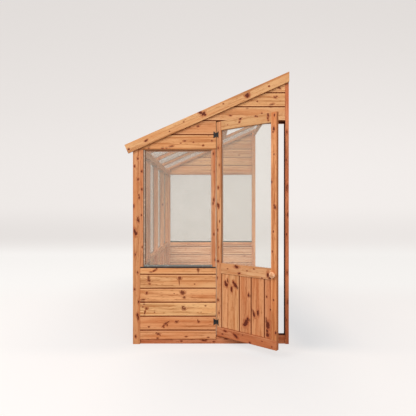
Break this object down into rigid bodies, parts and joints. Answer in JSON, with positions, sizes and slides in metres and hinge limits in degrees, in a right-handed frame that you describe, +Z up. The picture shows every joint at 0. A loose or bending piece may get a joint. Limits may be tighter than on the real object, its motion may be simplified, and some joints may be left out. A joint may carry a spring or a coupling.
{
  "type": "lean-to greenhouse",
  "caption": "Softwood lean-to greenhouse for a house wall, with board-clad lower walls, glazed sides and roof, an outward opening part-glazed door and a hinged roof vent on a stay.",
  "frame": {"origin": "underside of the front wall's bottom rail, on the rail's centre line, at mid length; it lies on the ground", "axes": "+X level, from the low front wall towards the house wall; +Y level, along the length, away from the gable with the door; +Z up"},
  "size_m": [1.283, 2.673, 2.182],
  "materials": {
    "cladding_timber": "stained satin softwood boards",
    "frame_timber": "stained satin planed softwood",
    "barge_timber": "stained satin planed softwood, lighter",
    "knob_timber": "turned softwood, smooth",
    "clear_glass": "clear float glass",
    "black_iron": "black satin paint"
  },
  "bodies": {
    "frame": {"front_bottom_rail": "frame_timber", "front_sill_rail": "frame_timber", "front_top_rail": "frame_timber", "front_stud_1": "frame_timber", "front_stud_2": "frame_timber", "front_stud_3": "frame_timber", "front_cladding": "cladding_timber", "front_glass_1": "clear_glass", "front_glass_2": "clear_glass", "front_glass_3": "clear_glass", "front_glass_4": "clear_glass", "near_corner_post": "frame_timber", "near_corner_stud": "frame_timber", "hinge_stud": "frame_timber", "near_wall_post": "frame_timber", "near_bottom_rail": "frame_timber", "near_window_sill": "frame_timber", "near_window_head": "frame_timber", "near_window_glass": "clear_glass", "door_lintel": "frame_timber", "near_gable_rafter": "frame_timber", "near_lower_cladding": "cladding_timber", "near_upper_cladding": "cladding_timber", "near_barge_board": "barge_timber", "far_corner_post": "frame_timber", "far_corner_stud": "frame_timber", "far_wall_post": "frame_timber", "far_bottom_rail": "frame_timber", "far_window_sill": "frame_timber", "far_window_head": "frame_timber", "far_window_glass": "clear_glass", "far_gable_rafter": "frame_timber", "far_lower_cladding": "cladding_timber", "far_upper_cladding": "cladding_timber", "far_barge_board": "barge_timber", "rafter_1": "frame_timber", "rafter_2": "frame_timber", "rafter_3": "frame_timber", "ridge_rail": "frame_timber", "vent_trimmer": "frame_timber", "roof_glass_1": "clear_glass", "roof_glass_2": "clear_glass", "roof_glass_3": "clear_glass", "roof_glass_4": "clear_glass", "vent_hinge": "black_iron", "upper_hinge_frame_leaf": "black_iron", "lower_hinge_frame_leaf": "black_iron"},
    "door": {"door_hinge_stile": "frame_timber", "door_latch_stile": "frame_timber", "door_top_rail": "frame_timber", "door_lock_rail": "frame_timber", "door_bottom_rail": "frame_timber", "door_boards": "cladding_timber", "door_glass": "clear_glass", "door_knob": "knob_timber", "upper_hinge_door_leaf": "black_iron", "lower_hinge_door_leaf": "black_iron"},
    "vent": {"vent_frame": "frame_timber", "vent_glass": "clear_glass"},
    "stay": {"vent_stay": "black_iron"}
  },
  "joints": [
    {"name": "door_swing", "type": "hinge", "parent": "frame", "child": "door", "pos_m": [0.61825, -1.1458, 0.9], "axis": [0, 0, -1], "range_deg": [-40.3, 125]},
    {"name": "vent_swing", "type": "hinge", "parent": "frame", "child": "vent", "pos_m": [1.16536, 0.2855, 2.11395], "axis": [0, 1, 0], "range_deg": [-30, 25]},
    {"name": "vent_stay_pivot", "type": "hinge", "parent": "vent", "child": "stay", "pos_m": [0.72542, 0.2855, 2.14833], "axis": [0, -1, 0], "range_deg": [0, 70]}
  ]
}
